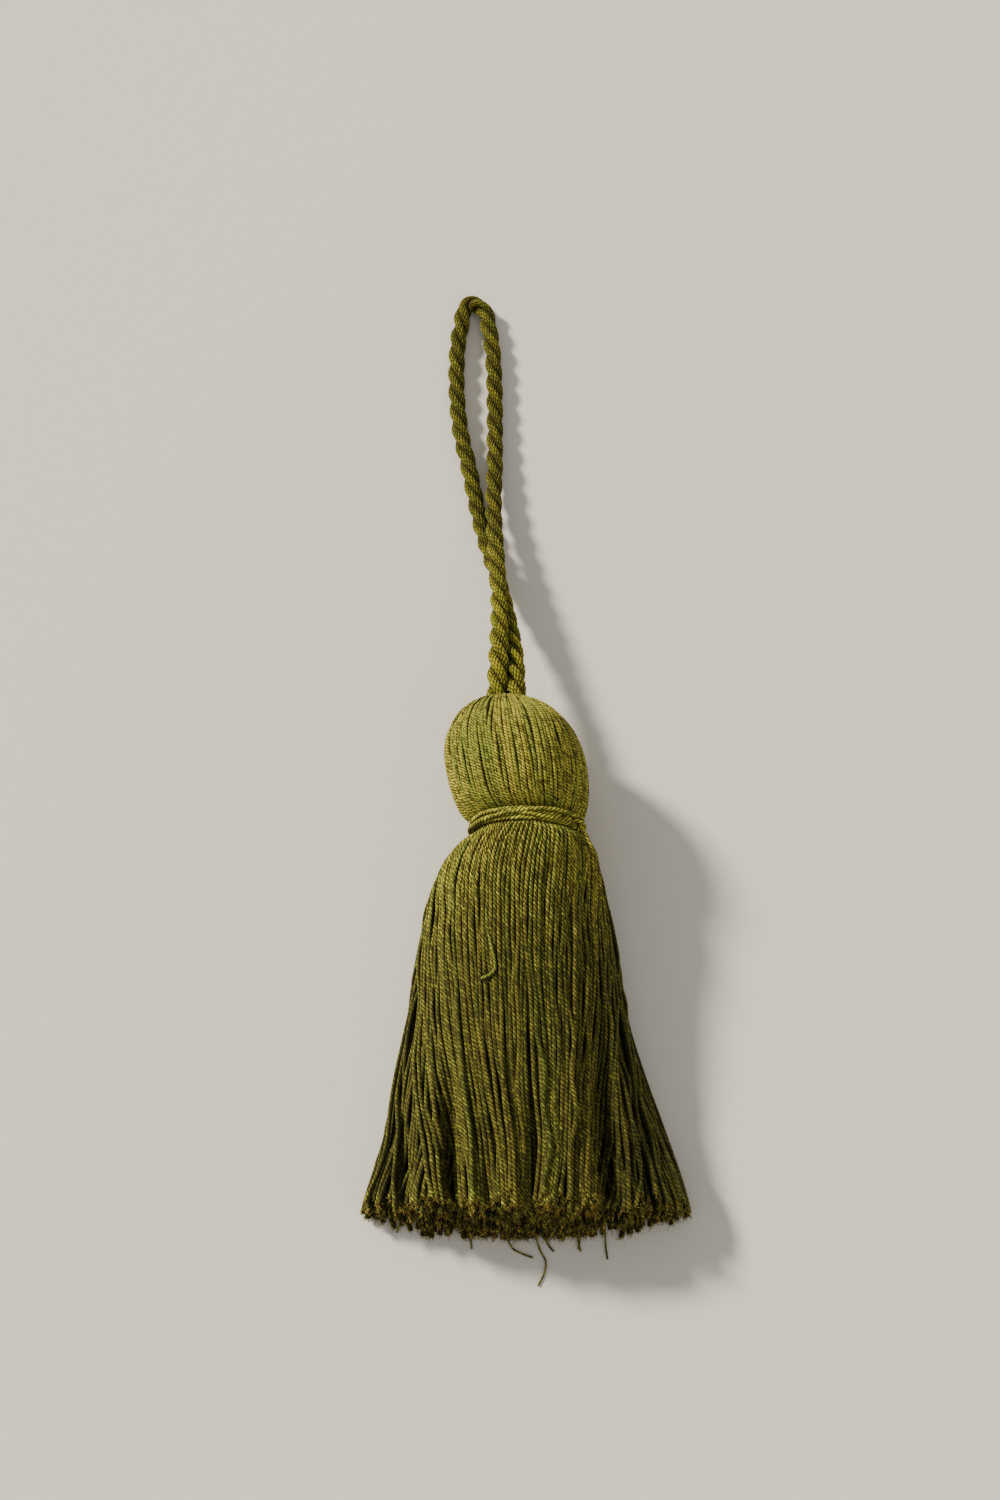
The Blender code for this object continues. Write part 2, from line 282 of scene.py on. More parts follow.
# %% Route of the cord
CORD_LAY = 17.0
CORD_ROUTE = [
    (-7.35, 65.25, 17.4), (-7.3, 68.6, 17.4), (-7.0, 76.5, 16.5), (-6.9, 85.4, 14.8),
    (-6.9, 94.4, 12.5), (-7.3, 103.6, 10.0), (-7.7, 110.8, 8.1), (-8.1, 117.5, 6.6),
    (-8.3, 126.8, 4.8), (-8.0, 136.0, 3.6), (-8.0, 145.3, 2.9), (-8.0, 154.5, 2.5),
    (-8.2, 163.7, 2.35), (-8.8, 172.6, 2.35), (-9.7, 178.2, 2.35), (-10.2, 181.2, 2.35),
    (-11.6, 183.9, 2.35), (-13.9, 185.1, 2.35), (-15.9, 183.9, 2.35), (-16.6, 181.4, 2.35),
    (-17.0, 178.4, 2.35), (-17.9, 172.7, 2.35), (-18.2, 163.8, 2.35), (-17.9, 154.9, 2.35),
    (-16.9, 146.1, 2.35), (-15.0, 137.3, 2.35), (-13.3, 128.5, 2.35), (-11.5, 119.6, 2.6),
    (-9.8, 113.0, 3.2), (-7.6, 105.0, 4.8), (-5.6, 96.0, 7.4), (-4.0, 87.0, 10.6),
    (-3.1, 77.6, 13.8), (-2.8, 69.4, 16.2), (-2.75, 65.25, 16.8),
]  # fmt: skip

cord_path, cord_length = even_steps(smooth_line(CORD_ROUTE, 24), 337)
print(f"cord: {cord_length:.1f} mm along its middle line")

# %% Yarns of the cord
PLIES = 3
YARNS_IN_PLY = 9
PLY_REACH = 1.04
YARN_REACH = 0.80
YARN_LAY = 12.0
LOOSENESS = 1.07
LOOSER_AT_CROWN = 0.22
HIDDEN_END = np.linspace(0.0, -3.0, 5)[1:, None] * [0.0, 1.0, 0.0]


def rope_yarns(path, plies, yarns, ply_reach, yarn_reach, ply_lay, yarn_lay):
    """Middle lines of a rope's yarns, of shape (yarn, point, 3).

    At the length s the ply's middle lies ply_reach from the path, at an angle that falls by a turn
    in each ply_lay, and the yarn's lies yarn_reach from that, at an angle that grows by a turn in
    each yarn_lay.
    """
    s = lengths_along(path[None])[0]
    run, up, across = (way[0] for way in directions(path[None], (0.0, 0.0, 1.0)))
    ply = math.tau * (np.arange(plies)[:, None, None] / plies - s / ply_lay)
    yarn = math.tau * (np.arange(yarns)[:, None] / yarns + s / yarn_lay)
    rise = ply_reach * np.cos(ply) + yarn_reach * np.cos(yarn)
    side = ply_reach * np.sin(ply) + yarn_reach * np.sin(yarn)
    lines = path + rise[..., None] * up + side[..., None] * across
    return lines.reshape(plies * yarns, len(path), 3)


rope_path = [cord_path[0] + HIDDEN_END[::-1], cord_path, cord_path[-1] + HIDDEN_END]
rope_path = np.concatenate(rope_path)
rope_y = rope_path[:, 1]
looser = LOOSENESS + LOOSER_AT_CROWN * ramp(rope_y, 91.0, 75.0)
cord_yarn_lines = rope_yarns(
    rope_path, PLIES, YARNS_IN_PLY, PLY_REACH * looser, YARN_REACH * looser, CORD_LAY, YARN_LAY
)
print(f"{len(cord_yarn_lines)} yarns in {PLIES} plies")

# %% [markdown]
# ## Shade in the rope
#
# Hardly any light gets between the plies, or between the two legs where they lie side by side, and
# the outermost yarns catch the most of it. Each yarn's `tone` paints this light and shade: it
# follows its distance from the rope's middle and from the other leg. It also falls towards the
# bight: painted shade, as if the bight lay in less light.

# %% The rope's tone and its piece
FINE_YARN_RADIUS = 0.30
SAME_LEG = 60
TOUCHING, CLEAR = 2.1, 4.0


def beside_other_leg(points, path):
    """1 where the rope touches its other leg and 0 where it is clear, for each point of its yarns.

    The other leg is every point of the path more than SAME_LEG steps away along it. TOUCHING and
    CLEAR are distances from its middle line.
    """
    apart = np.linalg.norm(points[:, :, None] - path, axis=-1)
    step = np.arange(len(path))
    apart = np.where(np.abs(step[:, None] - step) > SAME_LEG, apart, np.inf)
    return ramp(apart.min(axis=2), CLEAR, TOUCHING)


from_middle = cord_yarn_lines - rope_path
outness = np.linalg.norm(from_middle, axis=-1) / looser
# Painted shade inside the rope, beside the other leg and towards the bight, and a painted highlight
# on the outermost yarns.
rope_painted_light_and_shade = 0.20 + 0.80 * ramp(outness, 0.95, 1.60)
rope_painted_light_and_shade = rope_painted_light_and_shade * (1.0 + 0.25 * ramp(outness, 1.5, 1.8))
rope_painted_light_and_shade = rope_painted_light_and_shade * (1.0 - 0.85 * beside_other_leg(cord_yarn_lines, rope_path))
rope_painted_light_and_shade = rope_painted_light_and_shade * (0.66 + 0.86 * ramp(rope_y, 125.0, 80.0))
fine_radius = FINE_YARN_RADIUS * looser
cord_yarns = strands(cord_yarn_lines, fine_radius, 6, unit(from_middle), tone=rope_painted_light_and_shade)
loop = make_piece("loop_cord", [cord_yarns], ["hanging_loop"])

# %% [markdown]
# ## The skirt's outline
#
# Below the tie the yarns spring apart over a round shoulder, and then fan out and settle. Across
# the tassel the section is a circle at the neck. Where it lies on the surface it has become a dome
# with a level underside. A table gives its sides, height and levelness row by row.
#
# A yarn's place in the bundle is a point (u, v) of a round disc. One function takes that point to
# its place in the section and one takes it back, so a yarn can be followed from the neck to the
# hem.

# %% Sections of the skirt
YARN_RADIUS = 0.505
SKIRT_ROWS = [
    # y, left, right, lowest, highest, level
    (32.0, -12.9, 12.9, 3.5, 29.3, 0.0), (30.4, -12.9, 12.9, 3.5, 29.3, 0.0),
    (29.4, -13.3, 13.3, 3.0, 29.7, 0.0), (28.5, -15.0, 14.9, 1.8, 30.6, 0.03),
    (27.5, -16.7, 16.2, 1.1, 31.2, 0.06), (26.0, -18.7, 17.3, 0.6, 31.6, 0.10),
    (24.0, -20.5, 18.1, 0.2, 31.7, 0.17), (22.0, -21.9, 18.6, 0.05, 31.5, 0.24),
    (18.0, -23.8, 19.4, 0.0, 31.0, 0.35), (12.0, -25.8, 20.7, 0.0, 30.3, 0.53),
    (1.0, -27.9, 22.9, 0.0, 29.0, 0.80), (-8.8, -29.5, 24.8, 0.0, 27.6, 0.93),
    (-18.5, -31.3, 27.0, 0.0, 26.3, 1.0), (-28.2, -33.1, 29.6, 0.0, 25.2, 1.0),
    (-37.8, -34.8, 32.6, 0.0, 24.1, 1.0), (-47.3, -36.6, 36.3, 0.0, 23.0, 1.0),
    (-56.8, -39.9, 39.9, 0.0, 21.9, 1.0), (-63.0, -41.2, 41.0, 0.0, 21.1, 1.0),
    (-70.0, -42.4, 42.2, 0.0, 20.4, 1.0),
]  # fmt: skip

skirt_table = smooth_line(SKIRT_ROWS, 8)[::-1]


def section_at(y):
    """Left side, right side, lowest and highest point and levelness of the section at y."""
    return [np.interp(y, skirt_table[:, 0], skirt_table[:, i]) for i in range(1, 6)]


def from_disc(u, v, y, inset):
    """The point (x, z) of the section at y for the disc's (u, v).

    Across, u goes from the left to the right side. Upwards, v is measured from the underside's
    arc, 1 - sqrt(1 - u^2), which is flattened as far as the section is level.
    """
    left, right, low, high, level = section_at(y)
    arc = np.sqrt(np.clip(1.0 - u**2, 0.0, None))
    x = 0.5 * (left + right) + (0.5 * (right - left) - inset) * u
    z = low + inset + (0.5 * (high - low) - inset) * (v + arc + (1.0 - level) * (1.0 - arc))
    return x, z


def to_disc(x, z, y, inset):
    """The disc's (u, v) for a point of the section at y: from_disc backwards."""
    left, right, low, high, level = section_at(y)
    u = (x - 0.5 * (left + right)) / (0.5 * (right - left) - inset)
    arc = np.sqrt(np.clip(1.0 - u**2, 0.0, None))
    v = (z - low - inset) / (0.5 * (high - low) - inset) - arc - (1.0 - level) * (1.0 - arc)
    return u, v


for y in (30.0, 0.0, -60.0):
    left, right, low, high, _ = section_at(y)
    print(f"skirt at y = {y:.0f}: {right - left:.1f} mm wide, {high - low:.1f} mm high")

# %% [markdown]
# ## Where the yarns lie
#
# Hair curves are quicker to scatter, but they run through each other and past the solid's outline.
# In the neck the yarns are pressed together like a handful of straws. Each step down the skirt has
# more room, and yarns from inside the bundle come up between those on its skin. This is settled
# level by level: yarns that lie closer than the room allows push each other apart, and one that is
# pushed out of the section is put back on its skin. All pairs are compared at once, as one square
# array.

# %% A handful of straws
YARNS = 760
ROW_HEIGHT = 0.866
rng = np.random.default_rng(12)


def straws(count):
    """`count` points (u, v) of the unit disc in hexagonal rows, a little uneven.

    Rows lie ROW_HEIGHT pitches apart, the height of a triangle with sides of one pitch.
    """
    pitch = math.sqrt(math.pi / (count * ROW_HEIGHT))
    rows, columns = np.meshgrid(np.arange(-40, 41), np.arange(-40, 41), indexing="ij")
    u = (columns + 0.5 * (rows % 2)).ravel() * pitch
    v = rows.ravel() * ROW_HEIGHT * pitch
    nearest = np.argsort(np.hypot(u, v))[:count]
    uneven = rng.normal(0.0, 0.12 * pitch, (2, count))
    return u[nearest] + uneven[0], v[nearest] + uneven[1]


# %% Settle the bundle from the neck to the hem
SKIN_PITCH = 1.17
ROOM_INSIDE = 1.25
PUSH = 0.28
ROUNDS = 14
LEVELS = np.concatenate(
    [np.arange(31.6, 24.0, -0.8), np.arange(24.0, 10.0, -2.0), np.arange(10.0, -71.0, -4.0)]
)


def settle(u, v, y, most):
    """Pushes yarns apart in the section at y, each by no more than `most` in all.

    Each pair keeps the mean of its two yarns' rooms apart: a yarn on the skin needs only its own
    width, and one inside needs more, so yarns from inside fill up the skin as it grows.
    """
    left, right, low, high, _ = section_at(y)
    area = math.pi * (0.5 * (right - left) - YARN_RADIUS) * (0.5 * (high - low) - YARN_RADIUS)
    inside = ROOM_INSIDE * math.sqrt(area / (ROW_HEIGHT * len(u)))
    on_skin = ramp(np.hypot(u, v), 0.86, 0.98)
    room = inside + on_skin * (min(SKIN_PITCH, inside) - inside)
    room = 0.5 * (room[:, None] + room)
    x0, z0 = from_disc(u, v, y, YARN_RADIUS)
    x, z = x0, z0
    for _ in range(ROUNDS):
        dx, dz = x[:, None] - x, z[:, None] - z
        apart = np.sqrt(dx * dx + dz * dz) + 1e-6
        push = PUSH * np.clip(room - apart, 0.0, None) / apart
        x, z = x + (push * dx).sum(axis=1), z + (push * dz).sum(axis=1)
        moved = np.maximum(np.hypot(x - x0, z - z0) / most, 1.0)
        x, z = x0 + (x - x0) / moved, z0 + (z - z0) / moved
        u, v = to_disc(x, z, y, YARN_RADIUS)
        outside = np.maximum(np.hypot(u, v), 1.0)
        x, z = from_disc(u / outside, v / outside, y, YARN_RADIUS)
    return u / outside, v / outside, x, z


u, v = straws(YARNS)
disc_places, bundle = [], []
for level, step in zip(LEVELS, np.diff(LEVELS, prepend=LEVELS[0] + 4.0)):
    u, v, x, z = settle(u, v, level, 0.45 * abs(step))
    disc_places.append((u, v))
    bundle.append(np.stack([x, np.full(YARNS, level), z], axis=1))
bundle = np.array(bundle)
print(YARNS, "yarns settled over", len(LEVELS), "levels")

# %% [markdown]
# ## Locks and gaps
#
# Yarns that have hung together keep together, so the skirt falls into locks with dark gaps between
# them. Each yarn is drawn a little towards the middle of its lock, more so towards the hem, and
# the yarns beside a few larger gaps are pushed aside.

# %% Draw yarns into locks
LOCKS = 84
HEM_Y = -65.2

at_hem = disc_places[-1]
lock_u, lock_v = straws(LOCKS)
lock_of = np.argmin(np.hypot(at_hem[0][:, None] - lock_u, at_hem[1][:, None] - lock_v), axis=1)
members = (lock_of == np.arange(LOCKS)[:, None]).astype(float)
members = members / np.maximum(members.sum(axis=1, keepdims=True), 1.0)
lock_middle = np.einsum("ln,knc->klc", members, bundle)
tightness = rng.uniform(0.05, 0.26, LOCKS)[lock_of]
drawn = ramp(LEVELS, 6.0, -68.0)[:, None] * tightness
bundle = bundle + drawn[..., None] * (lock_middle[:, lock_of] - bundle)
print(f"{LOCKS} locks of about {YARNS / LOCKS:.0f} yarns")

# %% Open the gaps
GAPS = [
    # x and y where it starts, x at the hem, how far it opens
    (-19.6, -12.0, -17.6, 3.2), (1.2, -24.0, 0.8, 1.6), (14.8, 8.0, 20.2, 4.0),
    (-27.2, -18.0, -31.0, 2.2), (24.0, -16.0, 30.5, 2.0), (-8.6, -34.0, -9.6, 1.2),
    (9.6, -42.0, 10.8, 0.9),
]  # fmt: skip

for start_x, start_y, hem_x, opening in GAPS:
    share = (start_y - LEVELS) / (start_y - HEM_Y)
    gap_x = (start_x + (hem_x - start_x) * share)[:, None]
    opened = 0.5 * opening * ramp(1.1 * share, 0.0, 1.0)[:, None]
    away = bundle[..., 0] - gap_x
    # Beside the gap the yarns step aside, less and less with the distance from it.
    bundle[..., 0] += opened * np.tanh(away / 1.2) * np.exp(-np.abs(away) / 6.0)
    # In its middle they sink, unless they lie low already.
    sinking = 3.2 * opened * np.exp(-((away / 1.5) ** 2))
    bundle[..., 2] -= sinking * ramp(bundle[..., 2], 4.0, 12.0)
print(len(GAPS), "gaps")

# %% [markdown]
# ## From places to yarns
#
# A smooth line through a yarn's places is still too straight. Slow waves bend it, partly together
# with its lock and partly alone, and a few yarns on top go astray across their neighbours. Every
# yarn has about the same length, so those that take the longer way over the top, or out to a
# corner, end higher up: that gives the hem its curve.

# %% Lines of the skirt's yarns
YARNS_START = 31.0
TIP_LENGTH = 2.4

dense = smooth_line(bundle, 6)
dense_y = dense[:, 0, 1]


def yarn_lines(chosen, rings, ends):
    """Points of the chosen yarns, (yarn, ring, 3), each from the neck to its own end.

    The share of the way grows as t^1.5, so that the shoulder has more rings, and the last
    TIP_LENGTH has three of its own. Between two levels of the bundle the place is read on a
    straight line.
    """
    way = YARNS_START - ends
    t = np.linspace(0.0, 1.0, rings - 3) ** 1.5
    y = YARNS_START - np.concatenate([t * (way - TIP_LENGTH), way - 1.5, way - 0.7, way], axis=1)
    upper = np.clip(np.searchsorted(-dense_y, -y) - 1, 0, len(dense_y) - 2)
    share = ((dense_y[upper] - y) / (dense_y[upper] - dense_y[upper + 1]))[..., None]
    chosen = chosen[:, None]
    return dense[upper, chosen] * (1.0 - share) + dense[upper + 1, chosen] * share


def waves(y, size, shortest, longest):
    """Two sine waves along y for each row, with a size, a length and a start of its own."""
    count = (2, len(y), 1)
    length = rng.uniform(shortest, longest, count)
    start = rng.uniform(0.0, math.tau, count)
    return (rng.normal(0.0, size, count) * np.sin(math.tau * y / length + start)).sum(axis=0)


# %% Where each yarn ends
HEM_LIFT_CORNERS = 5.4
HEM_LIFT_TOP = 6.0
HEM_LIFT_MOST = 7.6
HEM_HEIGHT = 21.0

lift = HEM_LIFT_CORNERS * at_hem[0] ** 2 + HEM_LIFT_TOP * (bundle[-1, :, 2] / HEM_HEIGHT)
yarn_ends = HEM_Y + np.minimum(lift, HEM_LIFT_MOST)
yarn_ends = yarn_ends + rng.normal(-0.2, 0.9, YARNS) - 0.45 * rng.exponential(1.0, YARNS)
# Most of what hangs past the hem is trimmed off.
yarn_ends += 0.8 * np.clip(HEM_Y - 0.1 - yarn_ends, 0.0, None)
lock_wave = rng.normal(0.0, 0.5, LOCKS)[lock_of]
lock_tone = rng.normal(1.0, 0.13, LOCKS)[lock_of]
# Painted highlight: a random amount by which each yarn's cut tip is made lighter.
painted_tip_highlight = rng.uniform(0.3, 1.3, YARNS)
print(f"yarns end between y = {yarn_ends.min():.1f} and {yarn_ends.max():.1f}")

# %% Yarns near the skin, yarns inside and yarns astray
MIDDLE_Y = -30.0
HALF_HIGH = 12.0
SKIN_DEPTH = 2.0
STRAYS = 12

# About how many millimetres below the skin each yarn lies, halfway down the skirt.
left, right, *_ = section_at(MIDDLE_Y)
mid_u, mid_v = disc_places[np.argmin(np.abs(LEVELS - MIDDLE_Y))]
depth = (1.0 - np.hypot(mid_u, mid_v)) * np.hypot(0.5 * (right - left) * mid_u, HALF_HIGH * mid_v)
on_top = np.flatnonzero((depth < 0.6) & (mid_v > 0.3))
stray_ways = rng.choice([-1.0, 1.0], STRAYS) * rng.uniform(0.9, 2.4, STRAYS)
astray = np.zeros(YARNS)
astray[rng.choice(on_top, STRAYS, replace=False)] = stray_ways
outer = np.flatnonzero(depth < SKIN_DEPTH)
inner = np.flatnonzero(depth >= SKIN_DEPTH)
print(len(outer), "yarns near the skin,", len(inner), "inside")

# %% [markdown]
# ## The skirt
#
# The yarns near the skin are seen, so they get eight sides and many rings. Those inside only close
# the view between them, and show at the cut face. All are a little thicker towards the hem, where
# nothing presses them, and swell at their cut ends. Their tone is painted darker down the skirt:
# painted shade, as if the lower skirt lay in less light than the head. Their cut tips are painted
# lighter again: a painted highlight, where the tips catch the light.

# %% Skirt pieces
NECK_YARN_RADIUS = 0.46
SPREAD_RADIUS = 0.490


def skirt_strands(chosen, rings, sides):
    """The chosen yarns as strands: waved, sunk by different depths, and kept in the section."""
    ends = yarn_ends[chosen, None]
    lines = yarn_lines(chosen, rings, ends)
    y = lines[..., 1]
    to_end = y - ends
    left, right, low, high, _ = section_at(y)
    middle_x, middle_z = 0.5 * (left + right), 0.35 * (low + high)

    # Waves of its own, and one that it shares with its lock.
    free = ramp(y, 30.0, -10.0)
    lines[..., 0] += free * waves(y, 0.20, 16.0, 55.0)
    lines[..., 0] += free * lock_wave[chosen, None] * np.sin(y / 11.0 + lock_of[chosen, None])
    # Neighbours lie at slightly different depths.
    sunk = rng.uniform(0.0, 0.022, (len(chosen), 1)) + 0.012 * np.abs(waves(y, 1.0, 24.0, 80.0))
    kept = 1.0 - sunk * ramp(y, 30.5, 24.5)
    lines[..., 0] = middle_x + kept * (lines[..., 0] - middle_x)
    lines[..., 2] = middle_z + kept * (lines[..., 2] - middle_z)
    # A stray goes sideways and rises over its neighbours.
    strays = astray[chosen, None] * ramp(y, 2.0, -58.0)
    lines[..., 0] += strays
    lines[..., 2] += 0.8 * ramp(np.abs(strays), 0.0, 0.9)
    lines[..., 0] = np.clip(lines[..., 0], left + YARN_RADIUS, right - YARN_RADIUS)

    radius = NECK_YARN_RADIUS + (SPREAD_RADIUS - NECK_YARN_RADIUS) * ramp(y, 30.0, 20.0)
    radius += 0.10 * ramp(y, 20.0, -60.0)
    radius += 0.10 * ramp(to_end, 2.0, 0.0) + 0.02 * waves(y, 1.0, 6.0, 15.0)
    lines[..., 2] = np.maximum(lines[..., 2], radius)
    # Painted shade: the tone falls towards the hem, as if the lower skirt lay in less light.
    # lock_tone differs at random from lock to lock.
    tone = (1.0 - 0.64 * ramp(y, 35.0, -12.0)) * lock_tone[chosen, None]
    # Painted highlight on the last 3 mm of each yarn, where the cut tip catches the light.
    tone = tone * (1.0 + painted_tip_highlight[chosen, None] * ramp(to_end, 3.0, 0.0))
    middle = np.stack([middle_x, y, 0.45 * (low + high)], axis=-1)
    out = unit((lines - middle) * [0.6, 1.0, 1.0])
    return lines, strands(lines, radius, sides, out, 1000 + chosen[0], tone, blunt=0.2)


halves = np.array_split(outer[np.argsort(mid_u[outer])], 2)
skirt_lines, skirt_pieces = [], []
for side, chosen in zip(("left", "right"), halves):
    lines, part = skirt_strands(chosen, 56, 8)
    skirt_lines.append(lines)
    skirt_pieces.append(make_piece(f"skirt_{side}", [part], ["tassel_yarn"]))
inner_lines, part = skirt_strands(inner, 34, 5)
skirt_pieces.append(make_piece("skirt_inside", [part]))

# %% [markdown]
# ## The head
#
# The head is the fold: the yarns come up out of the crown round the cord, go over the ball and are
# drawn in under the tie. Seen from the crown they are meridians. There are as many at the crown as
# at the widest place, where they just fit, so towards the crown and the neck they lie over and
# under each other. Each yarn has a rank from 0 to 3, and sinks by its rank where there is no room
# for all. A few gaps between them open over the crown.

# %% Profile of the head
HEAD_YARNS = 108
HEAD_RINGS = [
    # y, middle x, middle z, radius across, radius upwards
    (62.2, -5.0, 17.0, 2.2, 2.2), (64.0, -5.1, 17.0, 2.9, 2.9), (65.1, -5.1, 17.0, 4.8, 4.8),
    (64.3, -5.1, 17.0, 7.7, 7.5), (62.8, -4.9, 17.0, 10.6, 10.2), (60.5, -4.6, 17.0, 13.2, 12.8),
    (57.8, -4.1, 17.0, 15.1, 14.9), (54.5, -3.7, 17.0, 16.6, 16.4), (51.0, -3.2, 17.0, 17.4, 17.2),
    (47.0, -2.5, 17.0, 17.5, 17.5), (43.0, -1.9, 17.0, 17.3, 17.3), (39.5, -1.4, 16.9, 16.7, 16.6),
    (36.6, -0.9, 16.7, 15.8, 15.6), (34.8, -0.3, 16.5, 14.5, 14.4), (33.6, 0.0, 16.4, 13.2, 13.2),
    (32.4, 0.0, 16.4, 12.9, 12.9), (30.0, 0.0, 16.4, 12.9, 12.9),
]  # fmt: skip
HEAD_GAPS = [
    # angle round the head in degrees, 90 on top; width in degrees; how far down it reaches, as a y
    (157.0, 8.0, 47.0), (112.0, 5.0, 50.0), (136.0, 2.5, 50.0),
    (76.0, 1.4, 44.0), (50.0, 2.0, 42.0),
]  # fmt: skip

head_profile = smooth_line(HEAD_RINGS, 4)


def head_lines(angles, sunk, profile=head_profile):
    """Lines over the head, one for each row of angles (line, ring), sunk below its skin.

    The point at the angle a of a ring is the ring's middle plus its radius times (cos a, sin a),
    across and upwards.
    """
    y, x, z, across, up = profile.T
    line_x = x + (across - sunk) * np.cos(angles)
    line_z = z + (up - sunk) * np.sin(angles)
    return np.stack([line_x, np.broadcast_to(y, line_x.shape), line_z], axis=-1)


print(f"head: {2.0 * head_profile[:, 3].max():.1f} mm across")

# %% Angles of the head's yarns
y = head_profile[:, 0]
y_rows = np.tile(y, (HEAD_YARNS, 1))
numbers = np.arange(HEAD_YARNS) + rng.normal(0.0, 0.12, HEAD_YARNS)
angles = math.tau * numbers[:, None] / HEAD_YARNS
angles = angles + 0.009 * waves(y_rows, 1.0, 12.0, 40.0)
for middle, width, reach in HEAD_GAPS:
    away = np.angle(np.exp(1j * (angles - math.radians(middle))))
    side = np.sign(away[:, len(y) // 2, None])
    opened = math.radians(0.5 * width) * ramp(y, reach, reach + 12.0)
    angles = angles + opened * side * np.exp(-np.abs(away) / math.radians(12.0))
print(len(HEAD_GAPS), "gaps on the head")

# %% Head piece
room = math.tau * head_profile[:, 3] / HEAD_YARNS / (2 * YARN_RADIUS)
crowded = np.clip((0.93 - room) / 0.6, 0.0, 1.0)
rank = np.tile([0, 2, 1, 3], HEAD_YARNS // 4)[:, None]
radius = 0.50 * np.clip(0.55 + 0.45 * room, 0.60, 1.0) * np.ones((HEAD_YARNS, 1))
sunk = radius + rank * 0.6 * crowded + rng.uniform(0.0, 0.16, (HEAD_YARNS, 1))
sunk = sunk + 0.12 * np.abs(waves(y_rows, 1.0, 14.0, 40.0))
over_head = head_lines(angles, sunk)
over_head[..., 2] = np.maximum(over_head[..., 2], radius)
# Outwards is away from a point on the ball's axis, drawn a third of the way to its middle.
axis = np.stack([head_profile[:, 1], y - 0.35 * (y - 47.0), head_profile[:, 2]], axis=-1)
# Painted light: tone 1.52 makes the head's yarns lighter than the skirt's, as if the head lay in
# the most light.
head = make_piece(
    "head_yarns",
    [strands(over_head, radius, 8, unit(over_head - axis), number=4000, tone=1.52)],
    ["tassel_yarn"],
)

# %% [markdown]
# ## Under the yarns
#
# Between the head's yarns one looks down on more yarn. A ridged core of strands, thicker and
# painted darker, stands for it and closes the gaps from every side: its darker tone is painted
# shade. A plug, painted darker still, fills the neck and the ball inside it.

# %% Core of the head
CORE_YARNS = 40
CORE_SUNK = 1.95
CORE_RADIUS = 1.25
PLUG_LINE = [(-4.6, 62.8, 17.0), (-3.0, 50.0, 17.0), (-1.0, 38.0, 16.8), (0.0, 26.0, 16.4)]
PLUG_RADII = [
    # y, radius
    (24.0, 9.0), (32.0, 10.6), (38.0, 13.2), (50.0, 15.0), (58.0, 11.5), (63.0, 5.0),
]  # fmt: skip

core_profile = head_profile[6:]
core_angles = math.tau * np.arange(CORE_YARNS)[:, None] / CORE_YARNS
core_lines = head_lines(core_angles, CORE_SUNK, core_profile)
core_lines[..., 2] = np.maximum(core_lines[..., 2], 1.5)
core_radius = np.maximum(CORE_RADIUS * core_profile[:, 3] / 17.5, 0.5)
plug = smooth_line(PLUG_LINE, 8)
plug_radius = np.interp(plug[:, 1], *np.transpose(PLUG_RADII))
# Painted shade: tone 0.8 for the core and 0.4 for the plug.
core = make_piece(
    "head_core",
    [
        strands(core_lines, core_radius, 6, number=5000, tone=0.8),
        strands(plug[None], plug_radius, 32, number=5100, tone=0.4),
    ],
)

# %% [markdown]
# ## The tie
#
# One length of the same yarn goes round the neck several times. The turns lie side by side at the
# left and cross on top, where the last turn runs slantwise over the others to the knot at the
# right. The knot is two stitches over the turns and a hitch across them, with a short tail. A ring
# with grooves would read as one band, so each length is a strand, which shows where they cross.

# %% Round the neck
NECK = np.array([0.0, 31.5, 16.4])
NECK_RADIUS = 13.0
SLANT = math.radians(-1.5)


def round_neck(degrees, along, out):
    """Points at an angle from +X towards +Z, `along` the tassel and `out` from the neck's skin."""
    a = np.radians(degrees)
    x = (NECK_RADIUS + out) * np.cos(a)
    y = along + x * math.tan(SLANT)
    return NECK + np.stack([x, y, (NECK_RADIUS + out) * np.sin(a)], axis=-1)


def from_neck(points):
    """The way from the neck's middle line out to each point."""
    return unit((points - NECK) * [1.0, 0.0, 1.0])


def gathered(degrees):
    """A bell curve: 1 at the left of the neck, where the turns are gathered, and 0 elsewhere."""
    return np.exp(-(((degrees % 360.0) - 184.0) / 40.0) ** 2)


print(f"neck: {2.0 * NECK_RADIUS:.0f} mm across")

# %% Turns of the tie
turns = np.linspace(0.0, 3.75, 270)
degrees = -60.0 + 360.0 * turns
wound = round_neck(
    degrees,
    (-1.55 + 0.86 * turns + 0.10 * np.sin(5.1 * turns)) * (1.0 - 0.6 * gathered(degrees)),
    0.42 + 0.10 * np.sin(9.0 * turns + 1.0) - 0.20 * gathered(degrees),
)
share = np.linspace(0.0, 1.0, 110)
degrees = 236.0 - 208.0 * share
across_top = (-1.45 + 2.7 * ramp(share, 0.30, 0.85)) * (1.0 - 0.6 * gathered(degrees))
over = round_neck(
    degrees,
    across_top + 0.08 * np.sin(17.0 * share),
    0.60 - 0.15 * gathered(degrees) + 0.72 * ramp(share, 0.04, 0.34),
)
degrees = 205.0 - 170.0 * share
beside = round_neck(
    degrees,
    (1.35 - 2.3 * ramp(share, 0.38, 0.88)) * (1.0 - 0.6 * gathered(degrees)),
    0.62 + 0.45 * np.sin(math.pi * share) ** 2,
)
crossing = np.stack([over, beside])
print(f"{turns[-1]} turns and {len(crossing)} lengths across the top")

# %% Knot and tail
KNOT_ANGLE = 27.0
TAIL = [
    (12.6, 31.0, 23.2), (13.5, 29.6, 23.4), (14.2, 28.0, 23.6),
    (14.9, 26.4, 23.4), (15.5, 25.0, 22.9), (16.0, 23.6, 22.4),
]  # fmt: skip

